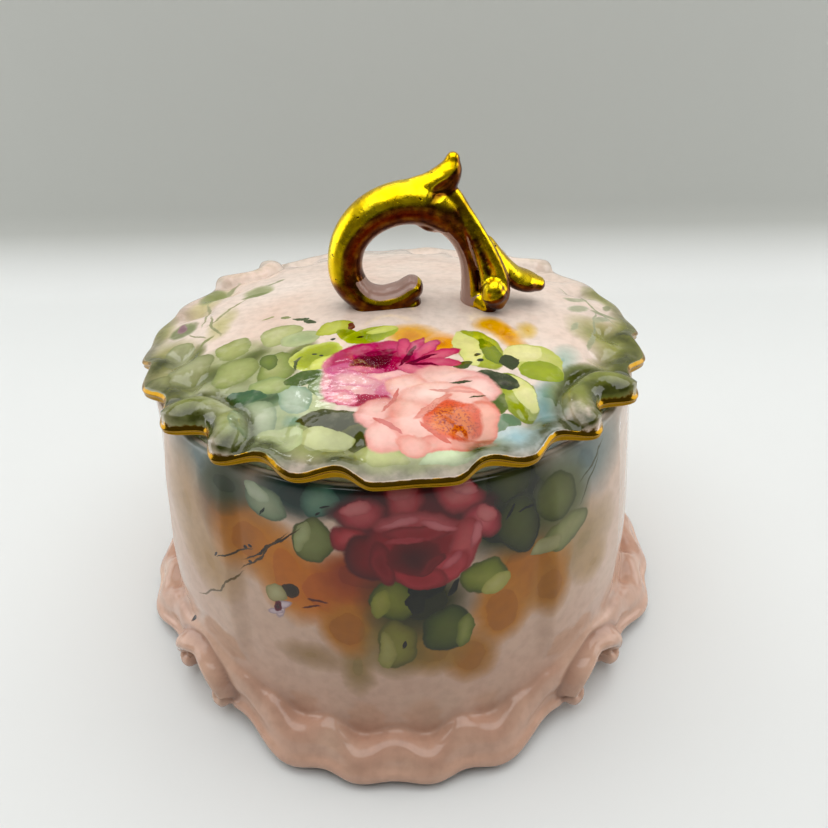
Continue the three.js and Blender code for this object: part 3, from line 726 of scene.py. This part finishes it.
# the magenta rose: pale outer petals, a dark heart and a spiky right side
paint = coat(paint, "magenta_rose", top_plan, [
    (-14, -41, 15, 22, 20, "dca0a9 e8b8b7 f1c8c0"), (-6, -37, 28, 26, 0, "d08897 d890a2 d0748c"),
    (-13, -45, 15, 12, -30, "d07893 e4aab2 f1c4c0"), (-16, -35, 10, 15, 10, "d0708c e098a5 e4a4ac"),
    (-9, -28, 20, 9, 10, "ae3464 bf4473 c75881"), (-1, -28, 12, 8, -20, "aa2c5a bf406c c7507c"),
    (-9.5, -33.5, 21, 14, 0, "ae3061 bb3c6c aa2c5d"), (-12, -37, 18, 8, -12, "c76090 d47897 d8849e"),
    (-4, -40, 20, 7, 6, "d4809a e8b0b7 f5ccc6"), (-12, -41, 15, 6, -18, "d07c9a e8b4b7 f1c4c2"),
    (-7, -33, 14, 8.5, 8, "911848 700c32 5b0827"), (-10, -36.6, 15, 3, -10, "bf507e d07090 d8809a"),
    (-1, -35, 9, 4, 50, "a62c5a bb4873 c3547a"), (-6, -29.6, 10, 2.6, 5, "a22056 911c4b"),
    (-12, -48.6, 17, 4.5, -8, "ae2c56 aa244f 991c44"), (-15.5, -47, 9, 6, -30, "d46c8c e8a8b0 f1b8b7"),
    (-4.5, -46, 7, 4, 30, "c77090 d4809a d890a5"),
], soft=0.16)
paint = coat(paint, "magenta_spikes", top_plan, [
    (3, -33.5, 13, 12, 20, "a22452 ae2c59 9e1c4b"), (1.5, -27.5, 12, 5, 80, "95204f c74c74 d46482"),
    (5, -27.5, 13, 4.5, 62, "95204f c34871 d06086"), (8, -28.8, 14, 5, 52, "9e2852 d06086 e08093"),
    (10, -32.4, 14, 5, 28, "9e2852 cb5878 dc7c90"), (10.5, -35.6, 12, 4.4, 2, "a22c56 cb5c7b d47089"),
    (7.5, -38, 11, 4.4, -22, "a63059 d06886 d87c90"), (2.5, -38, 10, 4.6, -42, "ae3c63 d47890 e08c9a"),
    (2.5, -31.6, 12, 1.8, 60, "801041 74103a"), (6, -33.6, 11, 1.6, 25, "801041 74103a"),
    (5.6, -36.2, 9, 1.5, -12, "851441 78143a"),
], leaf, soft=0.2)

# the salmon rose: five loose petals round a bowl with an orange, stippled heart
paint = coat(paint, "salmon_rose", top_plan, [
    (12, -42.5, 20, 11, -8, "dea09c eec7be f6d3cb"), (1, -45.5, 12, 11, 30, "de9890 f2cac1 f6d3cb"),
    (18, -47, 13, 11, -40, "de9890 f2cdc5 f8d8cf"), (-7.5, -54, 11, 11, 60, "d68c84 eebdb5 f2c7be"),
    (-5, -61.5, 13, 10, 40, "de9488 eebab0 f2c4ba"), (8, -55.5, 27, 23, 0, "d68074 eab1a5 eebaaf"),
    (1.5, -57, 12, 18, 15, "de8c80 f2c1b5 f8cdc3"), (8, -48, 20, 9, 6, "e2ab9f f6d0c6 fcddd4"),
    (15, -51, 10, 13, 25, "de887c f2c4b8 f8d0c5"), (17.5, -58.5, 9, 14, -15, "da7c6c eeb19f f2baa8"),
    (9, -64.8, 20, 6.5, 2, "da7464 eaa89a eeb2a5"), (1, -65, 9, 6, -30, "de8474 eeb4a7 f2bdb2"),
    (10, -57.5, 15, 12.5, 0, "de745c de6c48 d25830"), (6.6, -53, 14, 2.4, 35, "da887c e6a496"),
    (12, -47.6, 13, 1.5, -6, "de948c e2aba1"), (-4.6, -58.6, 9, 1.4, -40, "ce7c74"),
    (5.5, -61.5, 11, 1.6, -50, "d6705c"), (-3.5, -50, 10, 1.4, 60, "d2847c"),
], soft=0.14)
stipple = lid_space.noise(1.6, 2).ease(0.52, 0.6)
paint = dab(paint, top_plan, 10, -57.5, 15, 13, 0, "b84c20 9c3410 7c2408", 0.4, 0.6, stipple)
paint = dab(paint, top_plan, 10, -58, 11, 9, 20, "e8a03c e08820 d87818", 0.5, 0.6, 1 - stipple)
paint = coat(paint, "lid_dots", top_plan, [
    (-23, -26.5, 1.4, 1.2, 0, "28300c"), (-21, -27.6, 1.6, 1.3, 0, "28300c"),
    (-18, -20.5, 1.6, 1.4, 0, "28300c"), (-10, -20.6, 2.4, 1.3, 20, "28300c"),
    (20.6, -32, 2.2, 1.8, 0, "1c2408"), (21.6, -34.6, 2.2, 1.6, 0, "1c2408"),
    (25, -44.8, 2.2, 1.6, 40, "1c2408"), (26, -46.8, 2.2, 1.5, 40, "1c2408"),
    (30, -35.8, 3.4, 1.2, 30, "303c10"), (17.6, -50.4, 5, 0.9, 10, "3c4414"),
    (14.5, -43.6, 6, 1, 8, "3c4414"), (-27, -30.5, 8, 1, 65, "4c5820"),
], soft=0.3)

# buds on long stems at the left and grey green sprigs at the right
paint = coat(paint, "lid_sprigs", top_plan, [
    (-59, 12, 24, 1.2, 93, "a4a684 98996f"), (-54.5, 0, 18, 1.3, 110, "9c9c74 8c8f64"),
    (-51.5, 9, 22, 1.2, 62, "a4a47c 949668"), (-59, -4.5, 10, 1, -40, "9c9c74 8c8f64"),
    (-59.5, 29, 15, 10, 75, "98a070 8c9660 848f54"), (-43, 23.5, 13, 10, 35, "a4aa78 969e68 8e975c"),
    (-44, 20, 11, 4, 20, "8a945a 7c884c"), (-38, 30, 9, 2.2, 50, "a8aa8c 989c78"),
    (-64.5, 2.5, 11, 9, 80, "7c8850 68783c"), (-64.8, 4.4, 6, 3.4, 100, "a88890 987080 8c6478"),
    (-54, 35, 9, 3, 60, "a8aa88 9ca078"), (-55, -10, 8, 1.6, 70, "8c9058 7c844c"),
    (64, 2, 30, 1, 105, "a8ab8c 9a9e7c"), (60, -12, 26, 1, 70, "b0b296 a2a588"),
    (62, 14, 14, 1.2, -35, "a4a688 989b7c"), (59, 6.5, 9, 4, 10, "b4b69c a4a88a"),
    (58, -1, 10, 5, 30, "b4b69c a6aa8c"), (66, -2.5, 9, 4, -30, "a4a888 969a78"),
    (64, -7.5, 8, 4, 40, "b0b298 a2a688"), (53, -14, 8, 2, 65, "b8ba9e a8ac90"),
    (69, 4, 7, 3, 60, "a4a888 949874"), (56, -22, 12, 1.4, 55, "b0b296 a4a78a"),
], soft=0.3, cover=0.85)
paint = paint.mix("6c5a3c", lid_space.noise(0.4, 4).ease(0.35, 0.75) * 0.14)
paint = paint.mix("ece4d4", lid_space.noise(0.22, 3).ease(0.5, 0.75) * 0.16)
# painted highlights: near-white specks over the front of the magenta rose stand for glints on the glaze
glint_specks = lid_space.noise(3.2, 1).ease(0.66, 0.72)
paint = dab(paint, top_plan, -10, -42, 30, 26, 0, "f0e0e8", 0.6, 0.75, glint_specks)

# the scroll bands are tinted olive and stay paler than their hollows, which get painted shade in dark
# olive, as do the rim's valleys and the rim
brush = lid_space.noise(0.3, 3).ease(0.3, 0.7)
paint = paint.mix("8c9050", lid_space.mark("shine") * brush * 0.8)
paint = paint.mix("464a1c", lid_space.mark("shade") * (brush * 0.35 + 0.6))
paint = paint.deepen(1.1, 0.94, 1.15)

# gilding on the rim's edge, with a painted dark reflection in the middle of the edge, worn thin at its
# upper side
rim_mark = lid_space.mark("rim")
gilt = (rim_mark + lid_space.noise(0.5, 3) * 1.2).ease(1.35, 1.75)
across_edge = rim_mark * 0.2 + 1
rim_gilt_and_reflection = across_edge.tones((0.25, "b4820c"), (0.48, "2c1802"), (0.88, "241400"), (0.99, "9c7410"))
lid_gloss = lid_space.noise(0.3, 2).ease(0.3, 0.8) * 0.06 + 0.05
ripple = lid_space.noise(0.18, 2) + lid_space.noise(1.3, 1) * 0.05
lid_space.plug(paint.mix(rim_gilt_and_reflection, gilt), lid_sockets["Base Color"])
lid_space.plug(gilt, lid_sockets["Metallic"])
lid_space.plug(gilt * 0.12 + lid_gloss, lid_sockets["Roughness"])
lid_space.plug(lid_space.bumped(ripple, 0.0009, 0.35), lid_sockets["Normal"])
casting("lid_shell", lid_points, "lid", "lid", lid_material, lid_marks, LID_TURN)

# ---- The lid's collar ------------------------------------------------------------------------
# The plain ring under the lid that drops inside the jar's mouth and keeps the lid from sliding.
# It is pressed on its own, stuck to the lid with slip, and carries the drainer's plain glaze.

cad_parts["lid_collar"].material_slots[0].material = plain_glaze

# ---- The handle ------------------------------------------------------------------------------
# A porcelain scroll stuck on the dome with slip: a loop that curls in at its left foot, a flame
# on top, and a ridged right leg with a ball end and a leaf. It is gilded and burnished, all but
# the inside of the curl and the heel. Its gold carries painted light and shade: bright yellow where
# it faces up, dark brown elsewhere, and the bare porcelain is toned darker as painted shade.

# stations along each limb: (x, y, z, radius, depth across as a share of the radius), in mm
handle_limbs = {
    "loop": [
        (6.0, 0, 109.6, 3.5, 1.5), (2.4, 0, 107.4, 3.8, 1.5), (-3.6, 0, 106.2, 4, 1.5),
        (-9.2, 0, 108, 4.6, 1.3), (-12.9, 0, 113.4, 5.1, 1.15), (-13.2, 0, 119.8, 5.1, 1.1),
        (-10.8, 0, 126.2, 5.3, 1.1), (-5.6, 0, 131.4, 5.7, 1.05), (1.6, 0, 134.4, 6, 1),
        (9, 0, 134.6, 6.2, 1), (15.4, 0, 131.6, 5.6, 1), (20, 0.6, 126.2, 4.2, 1.15),
        (22.8, 1, 119.6, 3.1, 1.4), (24.2, 1.2, 112.4, 3.1, 1.5), (24.8, 1.2, 103, 3.8, 1.5),
    ],
    "finial": [
        (2, 0, 136.4, 3.6), (7, 0, 137.4, 4), (12, 0, 138.6, 4.2), (15.6, 0, 140.6, 4.2),
        (17.4, 0, 143.4, 3.4), (18, 0, 145.9, 2.0),
    ],
    "outer": [
        (14, -0.2, 138.2, 3), (17.5, -0.6, 136.4, 2.8), (21.2, -1.5, 131.6, 2.4), (25, -2.4, 126, 2.3),
        (28.8, -3.6, 119.6, 2.3), (31.6, -5, 113.6, 2.3), (32.4, -6.6, 109, 2.3), (31, -7.8, 106.4, 2.2),
    ],
    "inner": [
        (17.5, -2, 133.6, 1.8), (22, -3, 127.6, 1.7), (25, -3.8, 121.4, 1.6), (27, -4.6, 115, 1.6),
        (28, -5.4, 110, 1.8),
    ],
    "ball": [(29.9, -7.2, 107.6, 3.2), (29.6, -7.7, 109.2, 3.9), (29.3, -7.9, 110.4, 3.2)],
    "heel": [(24.6, 2, 105.6, 3.6), (26.6, -2, 105, 3.6), (28.4, -5.2, 104, 2.8)],
    "curl_foot": [(-8, 0, 104.6, 4.4, 1.3), (-2, 0, 103.6, 4.4, 1.3), (5.6, 0, 104.6, 3.2, 1.5)],
    "cusp": [(9, 0, 131, 3), (11.4, 0, 128.6, 2.4), (13.2, 0, 127.4, 1.6)],
    "leaf": [
        (28.6, 0.6, 122, 2, 1.3), (32.8, 0.8, 115.4, 2.9, 1.6), (37.2, 0.8, 111, 3.2, 1.8),
        (41.6, 0.6, 109.2, 3.1, 1.8), (44.8, 0.2, 108.4, 2.2, 1.6),
    ],
}
LIMB_SIDES = 28
LIMB_STEPS = 12
CAP_ANGLES = [math.radians(degrees) for degrees in (10, 25, 40, 55, 70, 82)]


def limb(stations):
    """Points and faces round a smooth line through the stations, with rounded ends."""
    stations = np.array([(*station, 1.0)[:5] for station in stations], float)
    padded = np.vstack([2 * stations[0] - stations[1], stations, 2 * stations[-1] - stations[-2]])
    line = []
    for k in range(1, len(padded) - 2):
        p0, p1, p2, p3 = padded[k - 1 : k + 3]
        for t in np.arange(LIMB_STEPS) / LIMB_STEPS:
            bend = (2 * p0 - 5 * p1 + 4 * p2 - p3) * t**2 + (3 * p1 - p0 - 3 * p2 + p3) * t**3
            line.append(0.5 * (2 * p1 + (p2 - p0) * t + bend))
    line.append(padded[-2])
    line = np.array(line)
    ways = np.gradient(line[:, :3], axis=0)
    ways /= np.linalg.norm(ways, axis=1, keepdims=True)

    def cap(end, way, a):
        return end[:3] + way * end[3] * math.cos(a), end[3] * math.sin(a), end[4]

    rings = [(*cap(line[0], -ways[0], a), ways[0]) for a in CAP_ANGLES]
    rings += [(point[:3], point[3], point[4], way) for point, way in zip(line, ways)]
    rings += [(*cap(line[-1], ways[-1], a), ways[-1]) for a in reversed(CAP_ANGLES)]
    centres, radii, depths, tangents = (np.array(part) for part in zip(*rings))
    radii, depths = radii[:, None, None], depths[:, None, None]
    side = np.array([0, 1.0, 0]) - tangents * tangents[:, 1:2]
    side /= np.linalg.norm(side, axis=1, keepdims=True)
    normal = np.cross(tangents, side)
    turn = np.radians(np.arange(LIMB_SIDES) * 360 / LIMB_SIDES)[None, :, None]
    section = np.cos(turn) * normal[:, None] + depths * np.sin(turn) * side[:, None]
    verts = (centres[:, None] + radii * section).reshape(-1, 3).tolist()
    index = np.arange(len(verts)).reshape(-1, LIMB_SIDES)
    right = np.roll(index, -1, axis=1)
    quads = np.stack([index[:-1], right[:-1], right[1:], index[1:]], axis=2).reshape(-1, 4)
    return verts, [index[0][::-1].tolist(), *quads.tolist(), index[-1].tolist()]


verts, faces = [], []
for stations in handle_limbs.values():
    limb_verts, limb_faces = limb(stations)
    faces.extend([[i + len(verts) for i in face] for face in limb_faces])
    verts.extend(limb_verts)
rough = bpy.data.meshes.new("handle_limbs")
rough.from_pydata((np.array(verts) * MM).tolist(), [], faces)
rough_piece = bpy.data.objects.new("handle_limbs", rough)
bpy.context.scene.collection.objects.link(rough_piece)
one_skin = rough_piece.modifiers.new("one_skin", "REMESH")
one_skin.mode = "VOXEL"
one_skin.voxel_size = 0.45 * MM
soften = rough_piece.modifiers.new("soften", "SMOOTH")
soften.factor = 0.5
soften.iterations = 8
bpy.context.view_layer.update()
skin = bpy.data.meshes.new_from_object(rough_piece.evaluated_get(bpy.context.evaluated_depsgraph_get()))
bpy.data.objects.remove(rough_piece)

co = np.empty(len(skin.vertices) * 3, np.float32)
skin.vertices.foreach_get("co", co)
co = co.reshape(-1, 3).astype(float) / MM
# a shallow thumb mark in the front of the flame
hollow = np.hypot((co[:, 0] - 14.6) / 1.7, co[:, 2] - 138.9 - 0.55 * (co[:, 0] - 14.6)) / 3
hollow = np.clip(1 - hollow**2, 0, 1)
co[:, 1] += np.where(co[:, 1] < 0, 1.2 * hollow**2, 0)
facing = np.empty(len(skin.vertices) * 3, np.float32)
skin.vertices.foreach_get("normal", facing)
facing = facing.reshape(-1, 3)
# bare: turned to the middle of the loop, low down; lit side: turned up and a little to the left,
# where the gold gets painted light, but not in the thumb mark
inward = np.stack([4 - co[:, 0], 0 * co[:, 0], 119 - co[:, 2]], axis=1)
inward = (facing * inward).sum(1) / np.maximum(np.linalg.norm(inward, axis=1), 0.1)
low = np.where(co[:, 0] < 12, co[:, 2] < 114, (co[:, 2] < 127) & (co[:, 1] > -4.5))
upward = facing[:, 2] - 0.45 * facing[:, 0] - 0.05 * facing[:, 1]
handle_marks = {
    "bare": smooth((inward - 0.35) / 0.3) * low,
    "bright": smooth((upward + 0.02) / 0.5) * (1 - hollow),
}
for mark, values in handle_marks.items():
    layer = skin.attributes.new(mark, "FLOAT", "POINT")
    layer.data.foreach_set("value", values.astype(np.float32))
SEAT_DEPTH = 0.25
co[:, 2] = np.maximum(co[:, 2], dome_height(np.hypot(co[:, 0], co[:, 1])) - SEAT_DEPTH)
a = math.radians(LID_TURN)
co = co @ np.array([[math.cos(a), math.sin(a), 0], [-math.sin(a), math.cos(a), 0], [0, 0, 1]])
skin.vertices.foreach_set("co", (co * MM).astype(np.float32).ravel())
skin.shade_smooth()

gold, gold_space, gold_sockets = surface("burnished_gilding", 0.16)
gold_paint = gold_space.noise(0.12, 3).tones((0.3, "dcae04"), (0.5, "ecc808"), (0.7, "f4d81c"))
wear_and_shade_noise = gold_space.noise(0.35, 3)
# painted light and shade on the gold: bright yellow on the lit side, dark brown on the rest
lit_share = (gold_space.mark("bright") + wear_and_shade_noise * 0.4 - 0.2).ease(0.15, 0.75)
shaded_gold = wear_and_shade_noise.tones((0.3, "38140a"), (0.5, "5a2c08"), (0.7, "7c5210"))
bare = (gold_space.mark("bare") + wear_and_shade_noise * 0.5 - 0.25).ease(0.25, 0.7)
pits = gold_space.noise(0.9, 2).ease(0.69, 0.73)
# the bare porcelain is given a pinkish brown, darker than the dish's white, as painted shade inside the
# loop
gold_paint = shaded_gold.mix(gold_paint, lit_share).mix("3c1c08", pits).mix("b08c7e", bare)
gold_gloss = gold_space.noise(0.4, 3).ease(0.3, 0.8) * 0.12 + 0.16
dents = gold_space.noise(0.28, 3) - pits * 0.5
gold_space.plug(gold_paint, gold_sockets["Base Color"])
gold_space.plug(1 - bare * 0.97, gold_sockets["Metallic"])
gold_space.plug(gold_gloss + lit_share * 0.08 - bare * 0.1, gold_sockets["Roughness"])
gold_space.plug(gold_space.bumped(dents, 0.0006, 0.35), gold_sockets["Normal"])
skin.materials.clear()
skin.materials.append(gold)
handle = bpy.data.objects.new("scroll_handle", skin)
bpy.context.scene.collection.objects.link(handle)
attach(handle, "lid")
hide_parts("handle")
